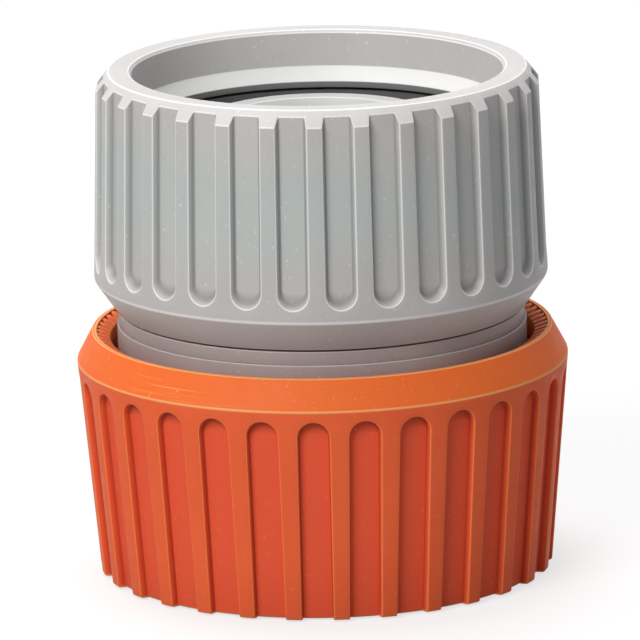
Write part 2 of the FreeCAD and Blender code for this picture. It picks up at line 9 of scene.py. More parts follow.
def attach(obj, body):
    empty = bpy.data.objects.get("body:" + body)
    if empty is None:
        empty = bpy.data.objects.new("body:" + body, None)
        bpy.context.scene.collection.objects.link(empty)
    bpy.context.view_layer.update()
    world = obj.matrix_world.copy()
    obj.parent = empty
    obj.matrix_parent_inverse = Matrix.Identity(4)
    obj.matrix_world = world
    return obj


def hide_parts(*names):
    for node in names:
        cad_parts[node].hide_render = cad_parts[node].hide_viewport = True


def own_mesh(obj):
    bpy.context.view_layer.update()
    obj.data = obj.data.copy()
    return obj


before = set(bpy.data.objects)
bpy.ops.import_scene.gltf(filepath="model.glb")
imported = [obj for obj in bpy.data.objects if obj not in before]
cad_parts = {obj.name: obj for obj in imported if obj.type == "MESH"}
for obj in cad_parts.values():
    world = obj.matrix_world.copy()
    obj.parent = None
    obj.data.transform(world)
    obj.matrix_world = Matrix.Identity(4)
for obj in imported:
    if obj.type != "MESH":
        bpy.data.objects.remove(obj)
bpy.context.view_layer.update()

MM = 0.001
TURN = 2 * math.pi

# Sizes in millimetres and angles in degrees, as the solids have them; a pair is a radius and a height,
# unless its name says otherwise
NUT_FOOT = (15.83, 20.77)
NUT_LIP = (17.52, 23.20)
NUT_SHOULDER = (17.04, 38.13)
NUT_TOP = (16.07, 39.33)
NUT_BORE_R = 15.45
NUT_MOUTH = [(14.50, NUT_TOP[1]), (14.28, 39.11)]
NUT_LEDGE = [(14.01, 36.46), (13.30, 35.39)]
NUT_LIP_FOOT_Z = 34.89
NUT_INSIDE = [(14.75, NUT_LIP_FOOT_Z), (14.75, 32.84), (14.35, 32.64), (14.35, 32.24), (NUT_BORE_R, 31.14)]
NUT_FLUTES = 30
NUT_RIB_AZIMUTH = -1.1
NUT_FLUTE_DEPTH = 0.57
NUT_FLUTE_HALF = 1.19
NUT_FLUTE_FLOOR_HALF = 1.025
NUT_FLUTE_END_Z = 24.18
NUT_FLUTE_FLOOR_END_Z = 24.56

SLEEVE_FOOT = (17.56, 0.10)
SLEEVE_WIDEST = (19.00, 16.72)
SLEEVE_RIM = (17.78, 19.01)
SLEEVE_FLUTES = 30
SLEEVE_RIB_AZIMUTH = 3.5
SLEEVE_FLUTE_DEPTH = 0.60
SLEEVE_FLUTE_HALF = 1.225
SLEEVE_FLUTE_FLOOR_HALF = 1.195
SLEEVE_FLUTE_CROWN_Z = 15.90
SLEEVE_SEAT = (17.43, 14.35)
SLEEVE_GUIDE = (13.5, 9.0)
SLEEVE_INSIDE = [SLEEVE_SEAT, (15.15, SLEEVE_SEAT[1]), (15.15, 11.0), (SLEEVE_GUIDE[0], 11.0), SLEEVE_GUIDE]
SLEEVE_INNER = (14.6, 7.9)
SLEEVE_LEDGE_Z = 1.8
SLEEVE_MOUTH_R = 15.85
POCKET_HALF_ANGLE = 12.6
POCKET_TOP = (13.99, 8.0)
POCKET_SLOPE = 0.5
POCKET_WALL_R = 15.93

RING_BORE_R = 16.38
RING_R = 17.40
RING_FOOT_Z = SLEEVE_SEAT[1]
RING_TOP_Z = 18.90
RING_TOP_FALL = 0.40
RING_SPLINES = 90
RING_SPLINE_DEPTH = 0.30
RING_GROOVE_DEPTH = 0.14
RING_BORE_CHAMFER = 0.08

THREAD_PITCH = 3.0
THREAD_TURNS = 1.95
THREAD_CORE_R = 14.75
THREAD_CREST_R = 15.30
THREAD_NUT_CREST_R = 14.90
THREAD_START_Z = 22.70
THREAD_ROOT_HALF = 0.75
THREAD_CREST_HALF = 0.45
THREAD_SINK = 0.1

STEM_R = 9.5
STEM_BARB_R = 9.95
STEM_BARBS = 4
STEM_BARB_PITCH = 2.7175
STEM_BARB_FOOT_Z = 23.91
STEM_BARB_LAND = 0.25
STEM_BARB_SLOPE_SHARE = 0.8
STEM_FOOT_Z = 15.2
HALVES_Z = 19.56
TROUGH_Z = 22.0
STEM_BELOW = [(8.2, STEM_FOOT_Z), (11.45, STEM_FOOT_Z), (11.45, 16.21), (9.9, 16.21), (9.9, 18.51),
              (11.45, 18.51), (11.45, HALVES_Z), (12.65, HALVES_Z), (12.65, 20.90), (11.45, 20.90),
              (11.45, TROUGH_Z), (STEM_R, TROUGH_Z)]
STEM_TIP = [(STEM_R, 34.78), (8.9, 35.38), (7.4, 35.38), (6.6, 34.58), (6.6, 20.60), (8.2, 17.80)]
COLLAR = [(12.70, HALVES_Z), (15.68, HALVES_Z), (15.68, 20.60), (THREAD_CORE_R, 20.60),
          (THREAD_CORE_R, 29.50), (13.85, 29.50), (13.65, TROUGH_Z), (11.5, TROUGH_Z), (11.5, 20.95),
          (12.70, 20.95)]

SOCKET_R = 13.2
FLANGE = (15.83, 17.0)
SNAP_R = 12.95
SNAP_FOOT_Z = 0.5
SNAP_TOP_Z = 1.1
SOCKET = [(11.4, 0), (SOCKET_R, 0), (SOCKET_R, SNAP_FOOT_Z), (SNAP_R, SNAP_FOOT_Z), (SNAP_R, SNAP_TOP_Z),
          (SOCKET_R, SNAP_TOP_Z), (SOCKET_R, FLANGE[1]), FLANGE, (FLANGE[0], HALVES_Z), (11.5, HALVES_Z),
          (11.5, 10.8), (9.9, 10.8), (9.9, STEM_FOOT_Z), (8.45, STEM_FOOT_Z), (8.45, 9.8), (10.6, 9.0),
          (10.6, 0.8)]
FRONT_RING = [(SOCKET_R, 0), (15.45, 0), (15.65, 0.2), (15.65, 1.6), (SOCKET_R, 1.6), (SOCKET_R, SNAP_TOP_Z),
              (SNAP_R, SNAP_TOP_Z), (SNAP_R, SNAP_FOOT_Z), (SOCKET_R, SNAP_FOOT_Z)]
SEAL_CENTRE = (10.7, 17.36)
SEAL_HALF_WIDTH = 0.8
SEAL_HALF_HEIGHT = 1.0

CLAW_NODES = ("claw_front", "claw_right", "claw_rear", "claw_left")
CLAW_AZIMUTHS = (-90.0, 0.0, 90.0, 180.0)
WINDOW_RADII = (9.6, 14.2)
WINDOW_HALF_WIDTH = 2.65
WINDOW_HEIGHTS = (4.45, 8.15)

SPRING_FOOT_Z = 11.05
SPRING_TOP_Z = 16.95
SPRING_WIRE_R = 0.425
SPRING_MEAN_R = 14.325
SPRING_TURNS = 3.5
SPRING_FLAT_TURNS = 0.25

# Rounded edges: how many millimetres of each leg a corner takes, up to a share of the shorter leg
EDGE_ROUND = 0.1
BROAD_ROUND = 0.22
RIM_ROUND = 0.12
INSIDE_ROUND = 0.09
FINE_ROUND = 0.08
SEAL_ROUND = 0.01
SLEEVE_FOOT_ROUND = 0.2
NUT_FLUTE_HEEL_ROUND = 0.09
SLEEVE_FLUTE_HEEL_ROUND = 0.06
LEG_SHARE = 0.4

# Edge weights that paint places pale, as painted highlight and on edges also as wear, or dark as painted
# shade, and the millimetres that they reach past a corner
NUT_LEDGE_HIGHLIGHT = 0.75
NUT_CHAMFER_HIGHLIGHT = 0.26
NUT_RIM_HIGHLIGHT = 0.14
NUT_FLUTE_SHADE = 0.55
SLEEVE_FLUTE_SHADE = 0.6
HIGHLIGHT_REACH = 0.03
SHADE_REACH = 0.1
RING_BORE_WEAR_AND_HIGHLIGHT_REACH = 0.3
RING_SPLINE_WEAR_AND_HIGHLIGHT_REACH = 0.1

# Where two skins of one piece are joined, in millimetres from the nearest size above
NUT_BORDER_RISE = 0.5
NUT_RIM_SEAM = 0.3
NUT_FOOT_SEAMS = (0.19, 0.22)
SLEEVE_BORDER_DROP = 0.35
SLEEVE_RIM_SEAMS = (0.1, 0.12)

# How the skins are divided, with a small angle in degrees between the two columns at a pocket's edge;
# the distances at which points and thin edges merge are in metres
ARC_POINTS = 15
ARC_ANGLES = np.linspace(0, math.pi, ARC_POINTS)
RIB_COLUMNS = 3
RIB_SHARES = [i / RIB_COLUMNS for i in range(RIB_COLUMNS)]
CORNER_STEPS = 4
STRAIGHT_ROWS = 4
FINE_COLUMNS = 360
PLAIN_COLUMNS = 240
POCKET_EDGE_NUDGE = 0.05
SEAL_COLUMNS = 120
SEAL_SIDES = 16
THREAD_COLUMNS = 120
SPRING_COLUMNS = 72
SPRING_SIDES = 14
TAPER_COLUMNS = 3
TAPER_LEAST = 0.05
SHARP_ANGLE = math.radians(38)
MERGE_DISTANCE = 2e-6
THIN_EDGE = 1e-7


class Skin:
    """Points and faces of one closed piece, in millimetres, with two weights for each point.

    edge is 1 where an edge is painted pale, as wear and painted highlight, and -1 where shade is painted dark
    into a corner; flute is 1 on a flute's floor.
    """

    def __init__(self):
        self.points = []
        self.edges = []
        self.flutes = []
        self.faces = []

    def add(self, radius, azimuth, z, edge=0.0, flute=0.0):
        return self.add_point((radius * math.cos(azimuth), radius * math.sin(azimuth), z), edge, flute)

    def add_point(self, point, edge=0.0, flute=0.0):
        self.points.append(tuple(point))
        self.edges.append(edge)
        self.flutes.append(flute)
        return len(self.points) - 1

    def strip(self, a, b, closed=False):
        """Quads between two rows of equal length, or triangles where they share an end."""
        last = len(a) if closed else len(a) - 1
        for i in range(last):
            j = (i + 1) % len(a)
            self.faces.append(tuple(dict.fromkeys((a[i], a[j], b[j], b[i]))))

    def lathe(self, azimuths, profile, start=None):
        """Rings along a profile of (radius, height, edge); start is the ring it goes on from."""
        row = start
        for radius, z, edge in profile:
            ring = [self.add(radius, a, z, edge) for a in azimuths]
            if row is not None:
                self.strip(row, ring, closed=True)
            row = ring
        return row

    def bridge(self, ring_a, azimuths_a, ring_b, azimuths_b):
        """Triangles between two rings that have different numbers of points."""
        first = int(np.argmin([abs(angle_between(b, azimuths_a[0])) for b in azimuths_b]))
        ring_b = ring_b[first:] + ring_b[:first]
        steps_a = unwound(azimuths_a)
        steps_b = unwound(azimuths_b[first:] + azimuths_b[:first])
        i = j = 0
        while i < len(ring_a) or j < len(ring_b):
            take_a = j >= len(ring_b) or (i < len(ring_a) and steps_a[i + 1] <= steps_b[j + 1])
            here_a = ring_a[i % len(ring_a)]
            here_b = ring_b[j % len(ring_b)]
            if take_a:
                i += 1
                self.faces.append((here_a, ring_a[i % len(ring_a)], here_b))
            else:
                j += 1
                self.faces.append((here_a, ring_b[j % len(ring_b)], here_b))

    def build(self, name):
        """Blender object with merged points, outward normals and smooth faces."""
        mesh = bpy.data.meshes.new(name)
        mesh.from_pydata([Vector(p) * MM for p in self.points], [], self.faces)
        for weight, values in (("edge", self.edges), ("flute", self.flutes)):
            attribute = mesh.attributes.new(weight, "FLOAT", "POINT")
            attribute.data.foreach_set("value", np.array(values, np.float32))
        work = bmesh.new()
        work.from_mesh(mesh)
        bmesh.ops.remove_doubles(work, verts=work.verts, dist=MERGE_DISTANCE)
        bmesh.ops.dissolve_degenerate(work, edges=work.edges, dist=THIN_EDGE)
        bmesh.ops.recalc_face_normals(work, faces=work.faces)
        work.to_mesh(mesh)
        work.free()
        smooth(mesh)
        piece = bpy.data.objects.new(name, mesh)
        bpy.context.scene.collection.objects.link(piece)
        return piece


def smooth(mesh):
    """Smooth shading that breaks where faces meet steeply."""
    mesh.polygons.foreach_set("use_smooth", [True] * len(mesh.polygons))
    mesh.set_sharp_from_angle(angle=SHARP_ANGLE)


def angle_between(a, b):
    return (a - b + math.pi) % TURN - math.pi


def unwound(azimuths):
    """Azimuths counted from the first one, always growing, with the full turn added."""
    out = [0.0]
    for before, after in zip(azimuths, azimuths[1:]):
        out.append(out[-1] + (after - before) % TURN)
    return out + [TURN]


def even_azimuths(count):
    return [TURN * i / count for i in range(count)]


def ellipse(half_width, half_height, sides):
    return [(half_width * math.cos(a), half_height * math.sin(a)) for a in even_azimuths(sides)]


def on_line(a, b):
    """Radius as a function of height on the cone through two (radius, height) points."""
    return lambda z: a[0] + (b[0] - a[0]) * (z - a[1]) / (b[1] - a[1])


def taper_rate(a, b):
    """Radius lost for each unit of height from a up to b."""
    return (a[0] - b[0]) / (b[1] - a[1])


def corner(before, at, after, size):
    """Points of a rounded corner as (x, y, edge); size is the length cut off each leg."""
    before, at, after = (np.array(p[:2], float) for p in (before, at, after))
    a = at + (before - at) / np.linalg.norm(before - at) * size
    b = at + (after - at) / np.linalg.norm(after - at) * size
    out = []
    for t in np.linspace(0, 1, CORNER_STEPS):
        p = (1 - t) ** 2 * a + 2 * t * (1 - t) * at + t * t * b
        out.append((p[0], p[1], math.sin(math.pi * t)))
    return out


def rounded(profile, size, closed=False):
    """Profile with each corner rounded by size or its own third value, less where a leg is short."""
    out = []
    n = len(profile)
    for i, at in enumerate(profile):
        if not closed and i in (0, n - 1):
            out.append((at[0], at[1], 0.0))
            continue
        before, after = profile[i - 1], profile[(i + 1) % n]
        room = min(math.dist(before[:2], at[:2]), math.dist(after[:2], at[:2])) * LEG_SHARE
        own_size = at[2] if len(at) > 2 else size
        out += corner(before, at, after, min(own_size, room))
    return out


def worn_and_highlit(point):
    """A profile's point as a fully pale edge, worn and with a painted highlight."""
    return (*point[:2], 1.0)


# Flutes


def flute_section(half, floor_half, depth, heel_round, painted_shade):
    """Loops of a flute from the outer surface to its floor, as (half width, depth, edge)."""
    outer = (half + 1, 0)
    brink = (half, 0)
    heel = (floor_half, depth)
    floor = (floor_half - 1, depth)
    loops = corner(outer, brink, heel, EDGE_ROUND)
    # The heel's points get a negative weight, which paints shade into the flute's inner corner
    loops += [(x, y, -painted_shade) for x, y, _ in corner(brink, heel, floor, heel_round)]
    return loops


class FluteBand:
    """Round-ended flutes side by side round a cone, added to a skin.

    surface(z) is the cone's radius. centre_of(depth) is the height at which a loop's round end begins.
    way is +1 where the flutes open upwards and -1 where they open downwards. open_profile(depth) gives
    (radius, height, edge) rows from the end of the straight part outwards, the last on the open ring.
    border_z is the height of the border ring, beyond the round ends.
    """

    def __init__(self, skin, surface, loops, centre_of, way, open_profile, border_z):
        self.skin = skin
        self.surface = surface
        self.loops = loops
        self.centre_of = centre_of
        self.way = way
        self.open_profile = open_profile
        self.border_z = border_z
        self.half = loops[0][0]
        self.floor_half = loops[-1][0]
        self.depth = loops[-1][1]
        self.open_ring = []
        self.open_azimuths = []
        self.border_ring = []
        self.border_azimuths = []

    def add_flutes(self, count, rib_azimuth):
        self.pitch = TURN / count
        for flute in range(count):
            self.middle = math.radians(-90 + rib_azimuth) + self.pitch * (flute + 0.5)
            starts = self.add_straight_part()
            self.add_border(starts, self.add_round_end(starts))

    def place(self, x, z, depth=0.0, edge=0.0):
        """Point at x along the surface from the flute's middle, sunk by depth."""
        radius = self.surface(z)
        return self.skin.add(radius - depth, self.middle + x / radius, z, edge, depth / self.depth)

    def rib_x(self, share, z):
        """x on the left half rib, from its middle line at share 0 to the flute at share 1."""
        half_cell = self.surface(z) * self.pitch / 2
        return -half_cell + (half_cell - self.half) * share

    def columns(self):
        """Columns across half a rib, the flute and half a rib, as (x as a function of z, depth, edge)."""
        rib_depth_edge = self.loops[0][1:]
        out = [(lambda z, t=t: self.rib_x(t, z), *rib_depth_edge) for t in RIB_SHARES]
        out += [(lambda z, x=-half: x, depth, edge) for half, depth, edge in self.loops]
        out += [(lambda z, x=-self.floor_half * math.cos(a): x, self.depth, 0.0) for a in ARC_ANGLES[1:-1]]
        out += [(lambda z, x=half: x, depth, edge) for half, depth, edge in reversed(self.loops)]
        out += [(lambda z, t=t: -self.rib_x(t, z), *rib_depth_edge) for t in reversed(RIB_SHARES)]
        return out

    def add_straight_part(self):
        """Columns from the round end out to the open ring. Returns the points that they start from."""
        grid, azimuths = [], []
        for x_at, depth, edge in self.columns():
            profile = self.open_profile(depth)
            end_z = profile[0][1]
            heights = np.linspace(self.centre_of(depth), end_z, STRAIGHT_ROWS)[:-1]
            column = [self.place(x_at(z), z, depth, edge) for z in heights]
            azimuth = self.middle + x_at(end_z) / self.surface(end_z)
            for radius, z, corner_edge in profile:
                column.append(self.skin.add(radius, azimuth, z, corner_edge or edge, depth / self.depth))
            grid.append(column)
            azimuths.append(azimuth)
        for a, b in zip(grid, grid[1:]):
            self.skin.strip(a, b)
        # The last column lies on the next flute's first
        self.open_ring += [column[-1] for column in grid[:-1]]
        self.open_azimuths += azimuths[:-1]
        return [column[0] for column in grid]

    def add_round_end(self, starts):
        """Round end of every loop and the floor inside the last. Returns the outermost arc."""
        arcs = []
        for k, (half, depth, edge) in enumerate(self.loops):
            arc = [starts[RIB_COLUMNS + k]]
            for a in ARC_ANGLES[1:-1]:
                z = self.centre_of(depth) - self.way * half * math.sin(a)
                arc.append(self.place(-half * math.cos(a), z, depth, edge))
            arc.append(starts[-1 - RIB_COLUMNS - k])
            arcs.append(arc)
        for a, b in zip(arcs, arcs[1:]):
            self.skin.strip(a, b)
        beside_floor = RIB_COLUMNS + len(self.loops) - 1
        self.skin.strip(arcs[-1], starts[beside_floor:-beside_floor])
        return arcs[0]

    def add_border(self, starts, arc):
        """Plain surface from the ribs and the outermost arc on to the border ring."""
        rib = [self.rib_x(t, self.border_z) for t in RIB_SHARES]
        across = rib + [-self.half * math.cos(a) for a in ARC_ANGLES] + [-x for x in reversed(rib)]
        border = [self.place(x, self.border_z) for x in across]
        self.skin.strip(starts[:RIB_COLUMNS + 1], border[:RIB_COLUMNS + 1])
        self.skin.strip(arc, border[RIB_COLUMNS:RIB_COLUMNS + len(arc)])
        self.skin.strip(starts[-RIB_COLUMNS - 1:], border[-RIB_COLUMNS - 1:])
        self.border_ring += border[:-1]
        self.border_azimuths += [self.middle + x / self.surface(self.border_z) for x in across[:-1]]


# Nut


def nut_flutes(skin):
    """The nut's fluted flank, from above its lip over the rim's chamfer and on to the rim's flat."""
    surface = on_line(NUT_LIP, NUT_SHOULDER)
    bevel = on_line(NUT_SHOULDER, NUT_TOP)
    bevel_past_flank = taper_rate(NUT_SHOULDER, NUT_TOP) - taper_rate(NUT_LIP, NUT_SHOULDER)
    centre_z = NUT_FLUTE_END_Z + NUT_FLUTE_HALF
    floor_centre_z = NUT_FLUTE_FLOOR_END_Z + NUT_FLUTE_FLOOR_HALF

    def centre_of(depth):
        return centre_z + (floor_centre_z - centre_z) * depth / NUT_FLUTE_DEPTH

    def open_profile(depth):
        turn_z = NUT_SHOULDER[1] + depth / bevel_past_flank
        below = (surface(turn_z - 1) - depth, turn_z - 1)
        turn = (bevel(turn_z), turn_z)
        inner = (NUT_TOP[0] - 1, NUT_TOP[1])
        foot = corner(below, turn, NUT_TOP, EDGE_ROUND)
        top = corner(turn, NUT_TOP, inner, RIM_ROUND)
        # The chamfer and the rim's flat are painted pale at least this much, as a painted highlight on the
        # top
        chamfer = [(r, z, max(edge, NUT_CHAMFER_HIGHLIGHT)) for r, z, edge in foot[2:] + top[:-1]]
        return foot[:2] + chamfer + [(*top[-1][:2], NUT_RIM_HIGHLIGHT)]

    loops = flute_section(NUT_FLUTE_HALF, NUT_FLUTE_FLOOR_HALF, NUT_FLUTE_DEPTH, NUT_FLUTE_HEEL_ROUND,
                          NUT_FLUTE_SHADE)
    band = FluteBand(skin, surface, loops, centre_of, 1, open_profile, NUT_LIP[1] + NUT_BORDER_RISE)
    band.add_flutes(NUT_FLUTES, NUT_RIB_AZIMUTH)
    return band


def nut_painted_light(z, edge):
    """Edge weight inside the nut: painted highlight on the rim and the ledge, painted shade on the lip under
    the ledge.
    """
    if z > NUT_TOP[1] - HIGHLIGHT_REACH:
        return max(edge, NUT_RIM_HIGHLIGHT)
    if z > NUT_LEDGE[0][1] + HIGHLIGHT_REACH or z < NUT_LIP_FOOT_Z - SHADE_REACH:
        return edge
    # Painted highlight on the ledge; below it, -1 paints shade on the lip's land under the ledge
    return max(edge, NUT_LEDGE_HIGHLIGHT) if z > NUT_LEDGE[1][1] - HIGHLIGHT_REACH else -1.0


def nut_inside():
    """Profile from the rim's flat down the mouth and the bore to under the foot."""
    profile = [(NUT_TOP[0] - NUT_RIM_SEAM, NUT_TOP[1])] + NUT_MOUTH + NUT_LEDGE
    profile += [(NUT_LEDGE[1][0], NUT_LIP_FOOT_Z)] + NUT_INSIDE
    profile += [(NUT_BORE_R, NUT_FOOT[1]), (NUT_BORE_R + NUT_FOOT_SEAMS[0], NUT_FOOT[1])]
    return [(r, z, nut_painted_light(z, edge)) for r, z, edge in rounded(profile, INSIDE_ROUND)]


def nut_skin():
    skin = Skin()
    band = nut_flutes(skin)
    azimuths = even_azimuths(FINE_COLUMNS)
    inside = nut_inside()
    mouth = skin.lathe(azimuths, inside[:1])
    skin.bridge(band.open_ring, band.open_azimuths, mouth, azimuths)
    foot = skin.lathe(azimuths, inside[1:], mouth)
    cone = [(NUT_BORE_R + NUT_FOOT_SEAMS[1], NUT_FOOT[1]), NUT_FOOT, (*NUT_LIP, BROAD_ROUND),
            (band.surface(band.border_z), band.border_z)]
    downwards = rounded(cone, EDGE_ROUND)[::-1]
    rim = skin.lathe(band.border_azimuths, downwards[1:], band.border_ring)
    skin.bridge(rim, band.border_azimuths, foot, azimuths)
    return skin.build("nut_shell")


# Sleeve


def sleeve_flutes(skin):
    """The sleeve's fluted flank, from its foot's edge up to below its widest line."""
    surface = on_line(SLEEVE_FOOT, SLEEVE_WIDEST)
    foot_z = SLEEVE_FOOT[1]

    def centre_of(depth):
        return SLEEVE_FLUTE_CROWN_Z - SLEEVE_FLUTE_HALF

    def open_profile(depth):
        above = (surface(foot_z + 1) - depth, foot_z + 1)
        foot_edge = (SLEEVE_FOOT[0] - depth, foot_z)
        inner = (SLEEVE_MOUTH_R, foot_z)
        return corner(above, foot_edge, inner, SLEEVE_FOOT_ROUND)

    loops = flute_section(SLEEVE_FLUTE_HALF, SLEEVE_FLUTE_FLOOR_HALF, SLEEVE_FLUTE_DEPTH,
                          SLEEVE_FLUTE_HEEL_ROUND, SLEEVE_FLUTE_SHADE)
    band = FluteBand(skin, surface, loops, centre_of, -1, open_profile, SLEEVE_WIDEST[1] - SLEEVE_BORDER_DROP)
    band.add_flutes(SLEEVE_FLUTES, SLEEVE_RIB_AZIMUTH)
    return band


def pocket_shape(azimuth, z, plain_r):
    """Radius inside the sleeve, where a flat-walled claw pocket may widen it."""
    for centre in CLAW_AZIMUTHS:
        off = angle_between(azimuth, math.radians(centre))
        if abs(off) < math.radians(POCKET_HALF_ANGLE):
            slope = POCKET_TOP[0] + POCKET_SLOPE * (POCKET_TOP[1] - z)
            return max(plain_r, min(slope, POCKET_WALL_R) / math.cos(off))
    return plain_r


def pocket_azimuths():
    """Even azimuths, and one on each side of every pocket's edges."""
    edges = [math.radians(a + side * (POCKET_HALF_ANGLE + nudge))
             for a in CLAW_AZIMUTHS for side in (-1, 1) for nudge in (-POCKET_EDGE_NUDGE, POCKET_EDGE_NUDGE)]
    return sorted(set(round(a % TURN, 6) for a in even_azimuths(FINE_COLUMNS) + edges))


def add_pockets(skin, azimuths, row):
    """Rings from a row above the claw pockets down to the sleeve's ledge. Returns the last ring."""
    slope_foot_z = POCKET_TOP[1] - (POCKET_WALL_R - POCKET_TOP[0]) / POCKET_SLOPE
    slope_edge_z = POCKET_TOP[1] - (SLEEVE_INNER[0] - POCKET_TOP[0]) / POCKET_SLOPE
    for z in (SLEEVE_INNER[1], slope_edge_z, slope_foot_z, SLEEVE_LEDGE_Z):
        ring = [skin.add(pocket_shape(a, z, SLEEVE_INNER[0]), a, z) for a in azimuths]
        skin.strip(row, ring, closed=True)
        row = ring
    return row


def sleeve_skin():
    skin = Skin()
    band = sleeve_flutes(skin)
    inner_seam, outer_seam = SLEEVE_RIM_SEAMS
    shoulder = rounded([(band.surface(band.border_z), band.border_z), (*SLEEVE_WIDEST, BROAD_ROUND),
                        (*SLEEVE_RIM, BROAD_ROUND), (SLEEVE_SEAT[0] + outer_seam, SLEEVE_RIM[1])], RIM_ROUND)
    shoulder[-1] = worn_and_highlit(shoulder[-1])
    rim = skin.lathe(band.border_azimuths, shoulder[1:], band.border_ring)
    azimuths = pocket_azimuths()
    seat = rounded([(SLEEVE_SEAT[0] + inner_seam, SLEEVE_RIM[1]), (SLEEVE_SEAT[0], SLEEVE_RIM[1])]
                   + SLEEVE_INSIDE, FINE_ROUND)
    seat_edge = skin.lathe(azimuths, [worn_and_highlit(seat[0])])
    skin.bridge(rim, band.border_azimuths, seat_edge, azimuths)
    guide = skin.lathe(azimuths, seat[1:], seat_edge)
    ledge = add_pockets(skin, azimuths, guide)
    mouth = [(SLEEVE_MOUTH_R, z, 0) for z in (SLEEVE_LEDGE_Z, SLEEVE_FOOT[1])]
    mouth_edge = skin.lathe(azimuths, mouth, ledge)
    skin.bridge(band.open_ring, band.open_azimuths, mouth_edge, azimuths)
    return skin.build("sleeve_grip")


# Splined ring

# One spline, as shares of its pitch and of its height, and rows over the top, as radii and edge weights that
# paint edges pale as wear and painted highlight
SPLINE_SHAPE = [(0.0, 1.0), (0.2, 1.0), (0.27, 0.8), (0.33, 0.2), (0.4, 0.0),
                (0.6, 0.0), (0.67, 0.2), (0.73, 0.8), (0.8, 1.0)]
RING_TOP_ROWS = [(RING_BORE_R, 0.3), (RING_BORE_R + RING_BORE_CHAMFER, 0.8),
                 (RING_BORE_R + RING_BORE_WEAR_AND_HIGHLIGHT_REACH, 0.1),
                 (RING_R - RING_SPLINE_DEPTH - RING_SPLINE_WEAR_AND_HIGHLIGHT_REACH, 0.1), (RING_R, 0.6)]


def ring_skin():
    """Splined ring: its outside and its sloped top are grooved together."""
    skin = Skin()
    splines = [(TURN * (i + share) / RING_SPLINES, height)
               for i in range(RING_SPLINES) for share, height in SPLINE_SHAPE]
    slope = RING_TOP_FALL / (RING_R - RING_BORE_R)
    rows = []
    for radius, edge in RING_TOP_ROWS:
        row = []
        for azimuth, height in splines:
            r = min(radius, RING_R - RING_SPLINE_DEPTH * (1 - height))
            drop = RING_GROOVE_DEPTH * (1 - height) + (RING_BORE_CHAMFER if radius == RING_BORE_R else 0)
            row.append(skin.add(r, azimuth, RING_TOP_Z - slope * (RING_R - r) - drop, edge * height))
        rows.append(row)
    rows.append([skin.add(RING_R - RING_SPLINE_DEPTH * (1 - height), azimuth, RING_FOOT_Z)
                 for azimuth, height in splines])
    rows.append([skin.add(RING_BORE_R, azimuth, RING_FOOT_Z) for azimuth, _ in splines])
    for a, b in zip(rows, rows[1:] + rows[:1]):
        skin.strip(a, b, closed=True)
    return skin.build("splined_ring")


# Turned and coiled pieces


def turned_piece(name, profile, size=EDGE_ROUND, columns=FINE_COLUMNS):
    """Closed turned piece with rounded corners."""
    skin = Skin()
    azimuths = even_azimuths(columns)
    last = skin.lathe(azimuths, rounded(profile, size, closed=True))
    skin.strip(last, list(range(columns)), closed=True)
    return skin.build(name)


def swept_coil(name, section, radius, start_z, rise, turns, columns_per_turn, flat_turns=0.0):
    """Section of (outward, upward) points swept round a helix, with end turns that lie flat or taper off."""
    skin = Skin()
    steps = int(columns_per_turn * turns)
    root = section[0][0]
    rows = []
    for i in range(steps + 1):
        turn = turns * i / steps
        climb = min(max(turn - flat_turns, 0) / (turns - 2 * flat_turns), 1)
        centre_z = start_z + rise * climb
        taper = 1.0 if flat_turns else min(1.0, i / TAPER_COLUMNS, (steps - i) / TAPER_COLUMNS)
        row = []
        for out, up in section:
            reach = root + (out - root) * max(taper, TAPER_LEAST)
            row.append(skin.add(radius + reach, TURN * turn, centre_z + up))
        rows.append(row)
    for a, b in zip(rows, rows[1:]):
        skin.strip(a, b, closed=True)
    skin.faces.append(tuple(rows[0]))
    skin.faces.append(tuple(rows[-1]))
    return skin.build(name)


def thread_piece(name, core_r, crest_r, start_z):
    way = math.copysign(1, crest_r - core_r)
    section = [(-way * THREAD_SINK, -THREAD_ROOT_HALF), (crest_r - core_r, -THREAD_CREST_HALF),
               (crest_r - core_r, THREAD_CREST_HALF), (-way * THREAD_SINK, THREAD_ROOT_HALF)]
    rise = THREAD_PITCH * THREAD_TURNS
    return swept_coil(name, section, core_r, start_z, rise, THREAD_TURNS, THREAD_COLUMNS)


def stem_piece():
    """Stem of the hose end, with a row of barbs between its foot and its tip."""
    barbs = []
    for i in range(STEM_BARBS):
        foot_z = STEM_BARB_FOOT_Z + STEM_BARB_PITCH * i
        barbs += [(STEM_R, foot_z), (STEM_BARB_R, foot_z), (STEM_BARB_R, foot_z + STEM_BARB_LAND),
                  (STEM_R, foot_z + STEM_BARB_PITCH * STEM_BARB_SLOPE_SHARE)]
    return turned_piece("barbed_stem", STEM_BELOW + barbs + STEM_TIP)


def seal_piece():
    section = [(SEAL_CENTRE[0] + x, SEAL_CENTRE[1] + z)
               for x, z in ellipse(SEAL_HALF_WIDTH, SEAL_HALF_HEIGHT, SEAL_SIDES)]
    return turned_piece("seal_ring", section, SEAL_ROUND, SEAL_COLUMNS)


def spring_piece():
    wire = ellipse(SPRING_WIRE_R, SPRING_WIRE_R, SPRING_SIDES)
    rise = SPRING_TOP_Z - SPRING_FOOT_Z - 2 * SPRING_WIRE_R
    return swept_coil("spring_wire", wire, SPRING_MEAN_R, SPRING_FOOT_Z + SPRING_WIRE_R, rise, SPRING_TURNS,
                      SPRING_COLUMNS, SPRING_FLAT_TURNS)


